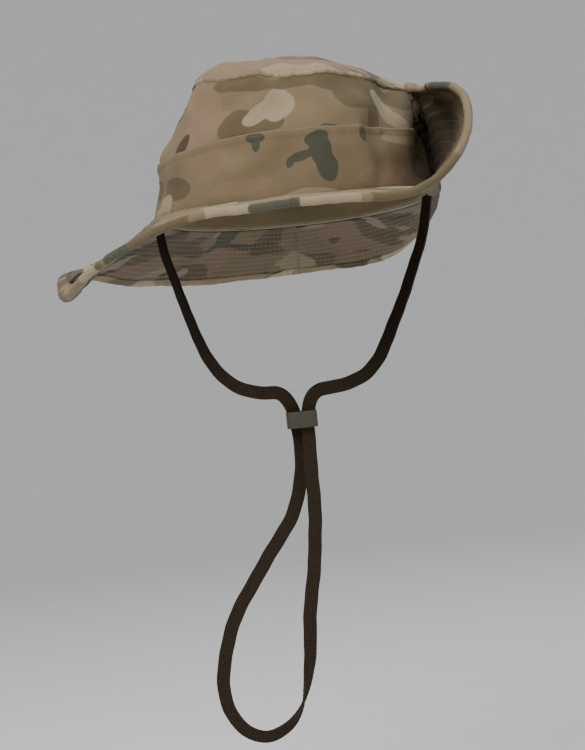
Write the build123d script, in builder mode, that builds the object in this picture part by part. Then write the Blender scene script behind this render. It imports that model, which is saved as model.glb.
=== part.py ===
"""Camouflage bush hat: stitched oval crown, three-layer brim, four press-snap halves a side
and a flat chin tape with its slider. Millimetres, +Z up the crown, -Y to the wearer's front,
+X to the wearer's left. The origin is the middle of the head opening, level with the brim.
"""
from build123d import *
import os
from math import atan2, cos, degrees, pi, radians, sin, sqrt, tan

# --- Crown ---------------------------------------------------------------------------------
HEAD_HALF_WIDTH = 82.0         # outer half width of the crown where the brim is sewn on
HEAD_HALF_LENGTH = 103.0       # outer half length there, for a 58 cm head
BAND_TOP = 33.0                # height of the seam between lower band and upper wall
WALL_TOP = 67.0                # height of the seam between upper wall and tip
CROWN_CLOTH = 1.0              # two-ply cotton, pressed
SIDE_SEAM_Y = 14.0             # the side seams run a little behind the ears
# height, half width and half length of each level of the crown's outside
BASE_LEVEL = (0.0, HEAD_HALF_WIDTH, HEAD_HALF_LENGTH)
BAND_LEVEL = (BAND_TOP, 79.0, 99.0)
WALL_LEVEL = (WALL_TOP, 70.0, 88.0)
TIP_LEVELS = [WALL_LEVEL, (71.5, 64.5, 81.5), (76.5, 54.0, 69.0), (81.0, 38.0, 50.0)]
TIP_PEAK = 86.0
PEAK_OVAL = (4.0, 5.0)         # the small flat where the dome is level

# --- Sweatband -----------------------------------------------------------------------------
SWEATBAND_HEIGHT = 30.0
SWEATBAND_CLOTH = 1.2

# --- Brim ----------------------------------------------------------------------------------
BRIM_WIDTH = 72.0
EDGE_HALF_WIDTH = HEAD_HALF_WIDTH + BRIM_WIDTH      # the brim's outer edge, laid flat
EDGE_HALF_LENGTH = HEAD_HALF_LENGTH + BRIM_WIDTH
COVER_CLOTH = 0.55             # top cover and underside cover
STIFFENER = 1.5                # interlining between the covers
LAYER_GAP = 0.1
SEAM_GAP = 0.15                # crown to brim
BINDING_WIDTH = 8.5
BINDING_CLOTH = 0.6
FRONT_DROOP = 12.0             # degrees below level at the middle of the front
BACK_DROOP = 24.0
SLAB_STATIONS = [-90, -78, -65, -45, -22, 0, 22, 45, 65, 78, 90]

# --- Side wings of the brim, which fold about a line beside the crown --------------------------
FOLD_X = 88.0
FOLD_GAP = 2.0                 # bare cloth each side of the fold line
WING_STATIONS = [-140, -132, -120, -104, -84, -60, -30, 0, 30, 60, 84, 104, 120, 132, 140]
WING_CALM_Y = 105.0            # beyond this distance from the middle the slopes are constant
# slopes in degrees above level, at the fold line and at the edge: (middle, ends)
LEFT_ROOT_SLOPE, LEFT_EDGE_SLOPE = (91.8, 68.0), (109.0, 71.0)
RIGHT_ROOT_SLOPE, RIGHT_EDGE_SLOPE = (-38.5, -30.0), (-21.3, -27.0)

# --- Press snaps, one pair a side ------------------------------------------------------------
SNAP_FROM_FOLD = 50.0          # along the wing, from the fold line to the snap's centre
SNAP_HEIGHT = 47.85            # height of the stud on the crown wall
STANDOFF = 0.35                # cloth crushed under each flange
FLANGE_R, FLANGE_T = 5.6, 0.8
STUD_NECK_R, STUD_HEAD_R, STUD_TALL = 2.2, 2.9, 2.2
POST_R, STUD_BORE_R, WALL_HOLE_R = 1.5, 1.6, 1.9
SOCKET_R, SOCKET_BORE_R, SOCKET_TALL = 4.9, 3.35, 1.9
CAP_R, CAP_TALL = 6.3, 1.6
SHANK_R, SHANK_BORE_R, BRIM_HOLE_R = 2.1, 2.2, 2.5

# --- Chin tape and slider --------------------------------------------------------------------
CORD_DIAMETER = 3.4            # round stand-in with the section of an 8 by 1.15 flat tape
STRAND_BACK = (-9.5, -68.6)    # x, y of the strand that comes from the wearer's right
STRAND_FRONT = (-4.5, -74.9)   # x, y of the strand that comes from the wearer's left
# the route, from the seam at the wearer's right to the seam at the left
CORD_ROUTE = [
    (-80.0, -8.0, -0.6), (-79.6, -11.0, -16.0), (-72.0, -24.0, -39.0), (-63.5, -41.0, -68.0),
    (-52.0, -57.0, -94.0), (-34.0, -66.5, -106.0), (*STRAND_BACK, -107.5),
    (*STRAND_BACK, -164.0), (-33.0, -71.5, -196.0), (-56.0, -72.5, -227.0),
    (-66.5, -72.0, -260.0), (-63.0, -71.5, -285.0), (-46.0, -72.0, -297.5),
    (-26.0, -73.0, -288.0), (-17.0, -74.0, -262.0), (-13.5, -74.5, -226.0),
    (-6.6, -73.9, -194.0), (*STRAND_FRONT, -160.0), (*STRAND_FRONT, -107.5),
    (18.5, -68.0, -106.5), (35.0, -57.0, -101.0), (49.0, -43.0, -78.0),
    (63.0, -28.0, -50.0), (76.5, -14.0, -20.0), (80.0, -8.0, -0.6),
]
SLIDER_SIZE = (17.0, 16.0, 9.0)
SLIDER_TOP = -118.2
SLOT_LENGTH, SLOT_WIDTH = 9.4, 4.8

os.makedirs("parts", exist_ok=True)


def write(piece, name):
    """Label a finished piece and write its STEP file."""
    piece.part.label = name
    export_step(piece.part, f"parts/{name}.step")


# --- Crown -----------------------------------------------------------------------------------
def oval_stack(levels, inset, peak, mode):
    """Loft one solid through oval levels, drawn in by inset, up to a peak if there is one."""
    ovals = [(height, width - inset, length - inset) for height, width, length in levels]
    if peak is not None:
        ovals.append((peak, *PEAK_OVAL))
    sections = []
    for height, half_width, half_length in ovals:
        with BuildSketch(Plane.XY.offset(height)) as oval:
            Ellipse(half_width, half_length)
        sections.append(oval.sketch)
    loft(sections, mode=mode)


def oval_shell(levels, cloth, inset=0.0, peak=None):
    """A cloth wall through the levels; a peak closes it at the top."""
    oval_stack(levels, inset, peak, Mode.ADD)
    lower = None if peak is None else peak - cloth
    oval_stack(levels, inset + cloth, lower, Mode.SUBTRACT)


def keep_side(behind):
    """Keep what is behind, or in front of, the side seams."""
    far = 200.0
    align = (Align.CENTER, Align.MIN if behind else Align.MAX, Align.CENTER)
    with Locations((0, SIDE_SEAM_Y, 0)):
        Box(2 * far, far, 2 * far, align=align, mode=Mode.INTERSECT)


def crown_snap_plane(side):
    """Where a stud sits: on the crown wall's outside, pointing out of the cloth."""
    share = (SNAP_HEIGHT - BAND_TOP) / (WALL_TOP - BAND_TOP)
    half_width = BAND_LEVEL[1] + share * (WALL_LEVEL[1] - BAND_LEVEL[1])
    rise, draw_in = WALL_TOP - BAND_TOP, BAND_LEVEL[1] - WALL_LEVEL[1]
    return Plane(origin=(side * half_width, 0, SNAP_HEIGHT), x_dir=(0, 1, 0),
                 z_dir=(side * rise, 0, draw_in))


with BuildPart() as crown_tip:
    oval_shell(TIP_LEVELS, CROWN_CLOTH, peak=TIP_PEAK)
write(crown_tip, "crown_tip")

for name, behind in (("front", False), ("back", True)):
    with BuildPart() as crown_wall:
        oval_shell([BAND_LEVEL, WALL_LEVEL], CROWN_CLOTH)
        keep_side(behind)
        if not behind:
            for side in (1, -1):
                with Locations(crown_snap_plane(side).location):
                    Cylinder(WALL_HOLE_R, 10, mode=Mode.SUBTRACT)
    write(crown_wall, f"crown_wall_{name}")

    with BuildPart() as crown_band:
        oval_shell([BASE_LEVEL, BAND_LEVEL], CROWN_CLOTH)
        keep_side(behind)
    write(crown_band, f"crown_band_{name}")


# --- Sweatband, inside the lower band ----------------------------------------------------------
def band_level(height):
    """The outer oval of the lower band at a height."""
    share = height / BAND_TOP
    half_width = HEAD_HALF_WIDTH + share * (BAND_LEVEL[1] - HEAD_HALF_WIDTH)
    half_length = HEAD_HALF_LENGTH + share * (BAND_LEVEL[2] - HEAD_HALF_LENGTH)
    return height, half_width, half_length


with BuildPart() as sweatband:
    sweat_levels = [band_level(1.0), band_level(1.0 + SWEATBAND_HEIGHT)]
    oval_shell(sweat_levels, SWEATBAND_CLOTH, inset=CROWN_CLOTH + SEAM_GAP)
write(sweatband, "sweatband")


# --- Brim --------------------------------------------------------------------------------------
class Station:
    """One cross-section of the brim: an arc of a given length between two slopes."""

    def __init__(self, origin, outward, root_slope, edge_slope, length):
        across = Vector(*outward).normalized()
        self.plane = Plane(origin=origin, x_dir=across, z_dir=across.cross(Vector(0, 0, 1)))
        self.root, self.edge = radians(root_slope), radians(edge_slope)
        self.length = length

    def slope(self, along):
        return self.root + (self.edge - self.root) * along / self.length

    def at(self, along, lift):
        """The point this far along the arc and lifted this far off its middle layer."""
        radius = self.length / (self.edge - self.root)
        slope = self.slope(along)
        return (radius * (sin(slope) - sin(self.root)) - lift * sin(slope),
                radius * (cos(self.root) - cos(slope)) + lift * cos(slope))


def wing_stations(side, root_slopes, edge_slopes):
    """The stations of a wing, cut across at each y, from the fold line to the brim's edge."""
    stations = []
    for y in WING_STATIONS:
        length = EDGE_HALF_WIDTH * sqrt(1 - (y / EDGE_HALF_LENGTH) ** 2) - FOLD_X
        middle = cos(min(1.0, abs(y) / WING_CALM_Y) * pi / 2) ** 2
        root = root_slopes[1] + middle * (root_slopes[0] - root_slopes[1])
        edge = edge_slopes[1] + middle * (edge_slopes[0] - edge_slopes[1])
        stations.append(Station((side * FOLD_X, y, 0), (side, 0, 0), root, edge, length))
    return stations


def strip(stations, start, stop, low, high, mode=Mode.ADD):
    """Loft a strip through the stations, between two lengths and two lifts.

    start and stop are functions of the station's length.
    """
    sections = []
    for station in stations:
        first, last = start(station.length), stop(station.length)
        middle = (first + last) / 2
        with BuildSketch(station.plane) as section:
            with BuildLine():
                ThreePointArc(station.at(first, low), station.at(middle, low), station.at(last, low))
                Line(station.at(last, low), station.at(last, high))
                ThreePointArc(station.at(last, high), station.at(middle, high),
                              station.at(first, high))
                Line(station.at(first, high), station.at(first, low))
            make_face()
        sections.append(section.sketch)
    loft(sections, mode=mode)


SKIN = STIFFENER / 2 + LAYER_GAP + COVER_CLOTH    # lift of a cover's outer face
BINDING_LIFT = SKIN + 2.5 * LAYER_GAP             # lift of the binding's inner face


def binding(stations, root):
    """The folded tape over the edge: a strip with the brim's own edge taken out of it."""
    outer = BINDING_LIFT + BINDING_CLOTH
    strip(stations, lambda length: max(root, length - BINDING_WIDTH),
          lambda length: length, -outer, outer)
    strip(stations, lambda length: max(root, length - BINDING_WIDTH) - 1.0,
          lambda length: length - BINDING_CLOTH, -BINDING_LIFT, BINDING_LIFT,
          mode=Mode.SUBTRACT)


# each layer: name, lowest lift, highest lift, and how far it stops short of the edge
LAYERS = [
    ("top", STIFFENER / 2 + LAYER_GAP, SKIN, 1.3),
    ("interlining", -STIFFENER / 2, STIFFENER / 2, 2.0),
    ("underside", -SKIN, -STIFFENER / 2 - LAYER_GAP, 1.3),
]


def droop_slab(half, droop, low, high, mode=Mode.ADD):
    """A slab that droops most at the middle of the front (half = -1) or back (half = 1).

    It is level along the crown's base oval and along both fold lines.
    """
    sections = []
    for x in SLAB_STATIONS:
        root = HEAD_HALF_LENGTH * sqrt(max(0.0, 1 - (x / HEAD_HALF_WIDTH) ** 2))
        edge = EDGE_HALF_LENGTH * sqrt(1 - (x / EDGE_HALF_WIDTH) ** 2)
        drop = BRIM_WIDTH * sin(radians(droop)) * max(0.0, 1 - (x / FOLD_X) ** 2)
        slope = -drop / (edge - root)
        inner, outer = -8.0, edge + 20.0
        with BuildSketch(Plane(origin=(x, 0, 0), x_dir=(0, half, 0), z_dir=(half, 0, 0))) as section:
            with BuildLine():
                Polyline((inner, slope * (inner - root) + low), (outer, slope * (outer - root) + low),
                         (outer, slope * (outer - root) + high),
                         (inner, slope * (inner - root) + high), close=True)
            make_face()
        sections.append(section.sketch)
    loft(sections, mode=mode)


def crescent(half, outer_inset, inner_outset):
    """Trim to the plan between the crown and the edge, one half, between the fold lines."""
    with BuildSketch(Plane.XY.offset(-80)) as plan:
        Ellipse(EDGE_HALF_WIDTH - outer_inset, EDGE_HALF_LENGTH - outer_inset)
        Ellipse(HEAD_HALF_WIDTH + inner_outset, HEAD_HALF_LENGTH + inner_outset,
                mode=Mode.SUBTRACT)
        align = (Align.CENTER, Align.MIN if half > 0 else Align.MAX)
        Rectangle(2 * (FOLD_X - FOLD_GAP), 400, align=align, mode=Mode.INTERSECT)
    extrude(plan.sketch, amount=160, mode=Mode.INTERSECT)


for name, half, droop in (("front", -1, FRONT_DROOP), ("back", 1, BACK_DROOP)):
    for layer, low, high, short in LAYERS:
        with BuildPart() as cover:
            droop_slab(half, droop, low, high)
            crescent(half, short, SEAM_GAP)
        write(cover, f"brim_{layer}_{name}")
    with BuildPart(mode=Mode.PRIVATE) as inside:
        droop_slab(half, droop, -BINDING_LIFT, BINDING_LIFT)
        crescent(half, BINDING_CLOTH, BRIM_WIDTH - BINDING_WIDTH - 1.0)
    with BuildPart() as edge_tape:
        droop_slab(half, droop, -BINDING_LIFT - BINDING_CLOTH, BINDING_LIFT + BINDING_CLOTH)
        crescent(half, 0.0, BRIM_WIDTH - BINDING_WIDTH)
        add(inside.part, mode=Mode.SUBTRACT)
    write(edge_tape, f"brim_binding_{name}")


# --- Side wings and the snaps on them ------------------------------------------------------------
def wing_snap_plane(station):
    """The middle layer under a wing's snap, facing the side that meets the crown."""
    slope = station.slope(SNAP_FROM_FOLD)
    place = station.plane.from_local_coords(station.at(SNAP_FROM_FOLD, 0.0))
    facing = station.plane.x_dir * -sin(slope) + Vector(0, 0, 1) * cos(slope)
    return Plane(origin=place, x_dir=(0, 1, 0), z_dir=facing)


def disc(plane, height, radius, thickness, mode=Mode.ADD):
    """A disc on the plane's axis, from a height upwards."""
    with Locations(plane.offset(height).location):
        Cylinder(radius, thickness, align=(Align.CENTER, Align.CENTER, Align.MIN), mode=mode)


def socket(plane):
    """The female half: a flange on the brim's top with a ring that grips the stud."""
    base = SKIN + STANDOFF
    disc(plane, base, FLANGE_R, FLANGE_T)
    disc(plane, base + FLANGE_T, SOCKET_R, SOCKET_TALL)
    disc(plane, base + FLANGE_T, SOCKET_BORE_R, SOCKET_TALL + 1, mode=Mode.SUBTRACT)
    disc(plane, base - 1, SHANK_BORE_R, FLANGE_T + 2, mode=Mode.SUBTRACT)


def cap(plane):
    """The rounded cap under the brim and the shank that rivets it to the socket."""
    top = -(SKIN + STANDOFF)
    disc(plane, top - CAP_TALL, CAP_R, CAP_TALL)
    rim = (plane.offset(top - CAP_TALL)).z_dir
    fillet(edges().filter_by(GeomType.CIRCLE).sort_by(Axis(plane.origin, rim))[0], 1.2)
    disc(plane, top, SHANK_R, 2 * (SKIN + STANDOFF) + FLANGE_T)


for name, side, root_slopes, edge_slopes in (
        ("left", 1, LEFT_ROOT_SLOPE, LEFT_EDGE_SLOPE),
        ("right", -1, RIGHT_ROOT_SLOPE, RIGHT_EDGE_SLOPE)):
    stations = wing_stations(side, root_slopes, edge_slopes)
    snap = wing_snap_plane(stations[len(stations) // 2])
    for layer, low, high, short in LAYERS:
        with BuildPart() as cover:
            strip(stations, lambda length: FOLD_GAP,
                  lambda length: max(length - short, FOLD_GAP + 0.5), low, high)
            disc(snap, -10, BRIM_HOLE_R, 20, mode=Mode.SUBTRACT)
        write(cover, f"brim_{layer}_{name}")
    with BuildPart() as edge_tape:
        binding(stations, FOLD_GAP)
    write(edge_tape, f"brim_binding_{name}")
    with BuildPart() as snap_socket:
        socket(snap)
    write(snap_socket, f"snap_socket_{name}")
    with BuildPart() as snap_cap:
        cap(snap)
    write(snap_cap, f"snap_cap_{name}")

# --- Studs on the crown and their posts inside it --------------------------------------------------
for name, side in (("left", 1), ("right", -1)):
    seat = crown_snap_plane(side)
    with BuildPart() as snap_stud:
        disc(seat, STANDOFF, FLANGE_R - 0.4, FLANGE_T)
        disc(seat, STANDOFF + FLANGE_T, STUD_NECK_R, STUD_TALL / 2)
        disc(seat, STANDOFF + FLANGE_T + STUD_TALL / 2, STUD_HEAD_R, STUD_TALL / 2)
        disc(seat, STANDOFF - 1, STUD_BORE_R, 2.6, mode=Mode.SUBTRACT)
    write(snap_stud, f"snap_stud_{name}")
    inner_face = -(CROWN_CLOTH + STANDOFF + 0.1)
    with BuildPart() as snap_post:
        disc(seat, inner_face - FLANGE_T, FLANGE_R - 0.4, FLANGE_T)
        disc(seat, inner_face, POST_R, 1.4 - inner_face)
    write(snap_post, f"snap_post_{name}")

# --- Chin tape and its slider ------------------------------------------------------------------------
points = [Vector(*place) for place in CORD_ROUTE]
radii = []
for before, corner, after in zip(points, points[1:], points[2:]):
    turn = radians((corner - before).get_angle(after - corner))
    shorter = min((corner - before).length, (after - corner).length)
    radii.append(0.45 * shorter / tan(turn / 2))
print("cord fillet radii", [round(radius, 1) for radius in radii])

with BuildLine() as cord_path:
    FilletPolyline(*CORD_ROUTE, radius=radii)
with BuildPart() as chin_cord:
    with BuildSketch(Plane(origin=points[0], z_dir=points[1] - points[0])):
        Circle(CORD_DIAMETER / 2)
    sweep(path=cord_path.wires()[0])
write(chin_cord, "chin_cord")
cord_length = cord_path.wires()[0].length
print("cord length", round(cord_length, 1), "volume ratio",
      round(chin_cord.part.volume / (cord_length * pi * (CORD_DIAMETER / 2) ** 2), 4))

middle_x = (STRAND_BACK[0] + STRAND_FRONT[0]) / 2
middle_y = (STRAND_BACK[1] + STRAND_FRONT[1]) / 2
with BuildPart() as cord_slider:
    with Locations((middle_x, middle_y, SLIDER_TOP)):
        Box(*SLIDER_SIZE, align=(Align.CENTER, Align.CENTER, Align.MAX))
    fillet(edges().filter_by(Axis.Z), 3.0)
    with BuildSketch(Plane.XY.offset(SLIDER_TOP + 1)):
        with Locations((middle_x, STRAND_BACK[1]), (middle_x, STRAND_FRONT[1])):
            SlotOverall(SLOT_LENGTH, SLOT_WIDTH)
    extrude(amount=-SLIDER_SIZE[2] - 2, mode=Mode.SUBTRACT)
write(cord_slider, "cord_slider")
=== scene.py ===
import bmesh
import bpy
import numpy as np
from math import cos, pi, radians, sin
from mathutils import Matrix, Vector


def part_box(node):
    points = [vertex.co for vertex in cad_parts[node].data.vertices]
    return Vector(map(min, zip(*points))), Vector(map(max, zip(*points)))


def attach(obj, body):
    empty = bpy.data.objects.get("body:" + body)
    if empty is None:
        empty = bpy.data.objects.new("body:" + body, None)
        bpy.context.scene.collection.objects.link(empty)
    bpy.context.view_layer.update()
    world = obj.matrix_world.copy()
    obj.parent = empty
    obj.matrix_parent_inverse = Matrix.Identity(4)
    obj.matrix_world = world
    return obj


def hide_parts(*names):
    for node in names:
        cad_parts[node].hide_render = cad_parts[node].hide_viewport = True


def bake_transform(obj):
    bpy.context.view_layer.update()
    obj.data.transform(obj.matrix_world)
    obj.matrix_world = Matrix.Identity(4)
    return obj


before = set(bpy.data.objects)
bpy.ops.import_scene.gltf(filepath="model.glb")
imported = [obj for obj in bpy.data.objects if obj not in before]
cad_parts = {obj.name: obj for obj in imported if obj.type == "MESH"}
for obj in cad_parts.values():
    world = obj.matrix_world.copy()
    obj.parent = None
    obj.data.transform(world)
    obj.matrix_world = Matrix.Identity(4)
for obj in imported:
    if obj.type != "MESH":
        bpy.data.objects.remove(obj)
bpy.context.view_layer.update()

# Studio: a pale matt sweep that runs from the floor up into the back wall in
# one soft curve, with three large soft lights. The hat hangs clear of it.
# The camera stands a little below the brim and leans by six degrees.
CAMERA_PLACE, CAMERA_AIM = (0, -0.8951, -0.0941), (-0.01178, 0.99990, -0.00466)
CAMERA_LENS, CAMERA_LEAN = 71.7, radians(6)
FLOOR, SWEEP_RADIUS, SWEEP_BEND, SWEEP_TOP = -0.46, 3.6, 1.5, 2.6
camera = bpy.data.objects.new("camera", bpy.data.cameras.new("camera"))
bpy.context.collection.objects.link(camera)
camera.data.sensor_fit = "VERTICAL"
camera.data.sensor_height = 36.0
camera.data.lens = CAMERA_LENS
looking = Vector(CAMERA_AIM).normalized()
level = looking.cross(Vector((0, 0, 1))).normalized()
upright = level.cross(looking)
camera.matrix_world = Matrix.Translation(CAMERA_PLACE) @ Matrix((
    level * cos(CAMERA_LEAN) - upright * sin(CAMERA_LEAN),
    level * sin(CAMERA_LEAN) + upright * cos(CAMERA_LEAN),
    -looking)).transposed().to_4x4()
bpy.context.scene.camera = camera


def show(name, bm):
    """A finished mesh becomes a piece with soft shading."""
    mesh = bpy.data.meshes.new(name)
    bm.to_mesh(mesh)
    bm.free()
    for face in mesh.polygons:
        face.use_smooth = True
    piece = bpy.data.objects.new(name, mesh)
    bpy.context.collection.objects.link(piece)
    return piece


def dye(red, green, blue):
    """A colour as the eye reads it, turned into light amounts."""
    return tuple((v / 255 / 12.92 if v < 10.3 else ((v / 255 + 0.055) / 1.055) ** 2.4)
                 for v in (red, green, blue)) + (1.0,)


def node(tree, kind, inputs=None, **settings):
    """A new node: inputs are linked from a socket or set to a value."""
    made = tree.nodes.new(kind)
    for key, value in settings.items():
        setattr(made, key, value)
    for key, value in (inputs or {}).items():
        if isinstance(value, bpy.types.NodeSocket):
            tree.links.new(value, made.inputs[key])
        else:
            made.inputs[key].default_value = value
    return made


def finish(name, roughness, metallic=0.0):
    """A new material, with its node tree and its shader."""
    material = bpy.data.materials.new(name)
    material.use_nodes = True
    tree = material.node_tree
    shader = tree.nodes["Principled BSDF"]
    shader.inputs["Roughness"].default_value = roughness
    shader.inputs["Metallic"].default_value = metallic
    return material, tree, shader


sweep = bmesh.new()
corners = [sweep.verts.new(place) for place in
           ((0, 0, FLOOR), (0, SWEEP_RADIUS, FLOOR), (0, SWEEP_RADIUS, SWEEP_TOP))]
for pair in zip(corners, corners[1:]):
    sweep.edges.new(pair)
bmesh.ops.bevel(sweep, geom=[corners[1]], offset=SWEEP_BEND, segments=28, profile=0.5, material=-1,
                affect="VERTICES")
bmesh.ops.spin(sweep, geom=sweep.verts[:] + sweep.edges[:], cent=(0, 0, 0), axis=(0, 0, 1),
               angle=2 * pi, steps=96, use_merge=True)
bmesh.ops.remove_doubles(sweep, verts=sweep.verts, dist=1e-5)
bmesh.ops.recalc_face_normals(sweep, faces=sweep.faces)
bmesh.ops.reverse_faces(sweep, faces=sweep.faces)
backdrop = show("backdrop", sweep)
plaster, tree, shader = finish("backdrop_plaster", 0.95)
place = node(tree, "ShaderNodeTexCoord").outputs["Object"]
mottle = node(tree, "ShaderNodeTexNoise", {"Vector": place, "Scale": 26.0, "Detail": 5.0})
tone = node(tree, "ShaderNodeMapRange", {0: mottle.outputs["Fac"], 3: 0.80, 4: 0.86})
tree.links.new(tone.outputs[0], shader.inputs["Base Color"])
backdrop.data.materials.append(plaster)

# name, place, size in metres, power in watts, colour
LIGHTS = (("key_light", (-0.75, -1.55, 1.25), 1.1, 40, (1.0, 0.97, 0.93)),
          ("fill_light", (1.45, -1.35, 0.55), 1.3, 10, (0.94, 0.97, 1.0)),
          ("top_light", (0.15, 0.25, 1.45), 1.2, 16, (1.0, 0.98, 0.96)))
for name, place, size, power, warmth in LIGHTS:
    lamp = bpy.data.lights.new(name, "AREA")
    lamp.size = size
    lamp.energy = power
    lamp.color = warmth
    light = bpy.data.objects.new(name, lamp)
    light.location = place
    light.rotation_euler = (Vector((0, 0, 0)) - Vector(place)).to_track_quat("-Z", "Y").to_euler()
    bpy.context.collection.objects.link(light)
world = bpy.data.worlds.new("studio_air")
world.use_nodes = True
world.node_tree.nodes["Background"].inputs["Color"].default_value = dye(186, 190, 196)
world.node_tree.nodes["Background"].inputs["Strength"].default_value = 0.52
bpy.context.scene.world = world

# Chin tape: one length of flat ribbed cotton tape, dark olive brown, 7.5 mm
# wide. Both ends are sewn in behind the band; it hangs in a loop, with its two
# strands side by side through the slider and one half turn at the bottom.
TAPE_ROUTE = [
    (-0.0800, -0.0080, -0.0006), (-0.0796, -0.0110, -0.0160), (-0.0720, -0.0240, -0.0390),
    (-0.0635, -0.0410, -0.0680), (-0.0520, -0.0570, -0.0940), (-0.0340, -0.0665, -0.1060),
    (-0.0095, -0.0686, -0.1075), (-0.0095, -0.0686, -0.1640), (-0.0330, -0.0715, -0.1960),
    (-0.0560, -0.0725, -0.2270), (-0.0665, -0.0720, -0.2600), (-0.0630, -0.0715, -0.2850),
    (-0.0460, -0.0720, -0.2975), (-0.0260, -0.0730, -0.2880), (-0.0170, -0.0740, -0.2620),
    (-0.0135, -0.0745, -0.2260), (-0.0066, -0.0739, -0.1940), (-0.0045, -0.0749, -0.1600),
    (-0.0045, -0.0749, -0.1075), (0.0185, -0.0680, -0.1065), (0.0350, -0.0570, -0.1010),
    (0.0490, -0.0430, -0.0780), (0.0630, -0.0280, -0.0500), (0.0765, -0.0140, -0.0200),
    (0.0800, -0.0080, -0.0006),
]
TAPE_WIDTH, TAPE_THICK, TAPE_RIB = 0.0075, 0.0013, 0.0028
WAVE = 0.314    # scale of a wave texture whose bands are one metre wide
# share of the length, turn of the tape's face in degrees
TAPE_TURNS = [(0, 52), (0.10, 44), (0.2, 12), (0.25, 0), (0.34, 0), (0.45, 14), (0.52, 40),
              (0.56, 120), (0.60, 172), (0.66, 180), (0.75, 180), (0.81, 170), (0.9, 142), (1, 126)]


def through(x, keys):
    """Smooth values between keys: each is (x, value, ...)."""
    keys = np.array(keys, float)
    at, values = keys[:, 0], keys[:, 1:]
    slopes = np.gradient(values, at, axis=0)
    i = np.clip(np.searchsorted(at, x, side="right") - 1, 0, len(at) - 2)
    wide = (at[i + 1] - at[i])[:, None]
    t = np.clip((x - at[i])[:, None] / wide, 0, 1)
    return ((2 * t ** 3 - 3 * t ** 2 + 1) * values[i] + (t ** 3 - 2 * t ** 2 + t) * wide * slopes[i]
            + (3 * t ** 2 - 2 * t ** 3) * values[i + 1] + (t ** 3 - t ** 2) * wide * slopes[i + 1])


def unit(vectors):
    return vectors / np.maximum(np.linalg.norm(vectors, axis=1), 1e-9)[:, None]


def mark_cloth(bm):
    """The flat cloth's own plan becomes its UV map, in metres."""
    cloth = bm.loops.layers.uv.new("cloth")
    for face in bm.faces:
        for loop in face.loops:
            loop[cloth].uv = loop.vert.co.xy


def lay_down(bm, lay):
    """Moves each vertex from its place on the flat cloth to its place on the hat."""
    flat = np.array([v.co for v in bm.verts], float)
    for vert, place in zip(bm.verts, lay(flat)):
        vert.co = place


def two_tones(tree, factor, dark, light):
    ramp = node(tree, "ShaderNodeValToRGB", {"Fac": factor})
    ramp.color_ramp.elements[0].color = dye(*dark)
    ramp.color_ramp.elements[1].color = dye(*light)
    return ramp


def emboss(tree, shader, height, strength, distance):
    """Relief that is too fine for the mesh."""
    bump = node(tree, "ShaderNodeBump", {"Height": height, "Strength": strength, "Distance": distance})
    tree.links.new(bump.outputs["Normal"], shader.inputs["Normal"])


line = bpy.data.curves.new("tape_route", "CURVE")
line.dimensions = "3D"
line.resolution_u = 24
spline = line.splines.new("NURBS")
spline.points.add(len(TAPE_ROUTE) - 1)
for point, place in zip(spline.points, TAPE_ROUTE):
    point.co = (*place, 1.0)
spline.order_u = 3
spline.use_endpoint_u = True
guide = bpy.data.objects.new("tape_route", line)
bpy.context.collection.objects.link(guide)
tape_path = [v.co.copy() for v in bpy.data.meshes.new_from_object(guide).vertices]
bpy.data.objects.remove(guide)
walked = np.array(tape_path)
reach = np.concatenate([[0], np.cumsum(np.linalg.norm(np.diff(walked, axis=0), axis=1))])
tape_length = float(reach[-1])


def lay_tape(flat):
    """x along the tape, y across it, z through it."""
    def on_path(x):
        return np.stack([np.interp(x, reach, walked[:, k]) for k in range(3)], 1)
    x = np.clip(flat[:, 0], 0, tape_length)
    along = unit(on_path(np.minimum(x + 0.003, tape_length)) - on_path(np.maximum(x - 0.003, 0)))
    face = np.array([0.0, -1.0, 0.0])
    across = unit(np.cross(along, face))
    through_tape = np.cross(along, across)
    turn = np.radians(through(x / tape_length, TAPE_TURNS))
    wide = across * np.cos(turn) + through_tape * np.sin(turn)
    thick = np.cross(along, wide)
    return on_path(x) + wide * flat[:, 1:2] + thick * flat[:, 2:3]


bar = bmesh.new()
bmesh.ops.create_cube(bar, size=1.0)
bmesh.ops.scale(bar, verts=bar.verts, vec=(tape_length, TAPE_WIDTH, TAPE_THICK))
bmesh.ops.translate(bar, verts=bar.verts, vec=(tape_length / 2, 0, 0))
lengthwise = [e for e in bar.edges if abs(e.verts[0].co.x - e.verts[1].co.x) > 0.1]
bmesh.ops.bevel(bar, geom=lengthwise, offset=0.0004, segments=2, profile=0.5,
                material=-1, affect="EDGES")
wide_edges = [e for e in bar.edges if abs(e.verts[0].co.y - e.verts[1].co.y) > 0.004]
bmesh.ops.subdivide_edges(bar, edges=wide_edges, cuts=5, use_grid_fill=True)
lengthwise = [e for e in bar.edges if abs(e.verts[0].co.x - e.verts[1].co.x) > 0.1]
bmesh.ops.subdivide_edges(bar, edges=lengthwise, cuts=520, use_grid_fill=True)
for vert in bar.verts:
    edge_cord = 1.0 + 0.22 * (abs(vert.co.y) > TAPE_WIDTH * 0.38)
    vert.co.z *= edge_cord * (1 + 0.10 * sin(vert.co.x * 2 * pi / TAPE_RIB))
    vert.co.y += 0.00018 * sin(vert.co.x * 160) + 0.0001 * sin(vert.co.x * 417)
mark_cloth(bar)
lay_down(bar, lay_tape)
bmesh.ops.recalc_face_normals(bar, faces=bar.faces)
tape = show("chin_tape", bar)

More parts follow.
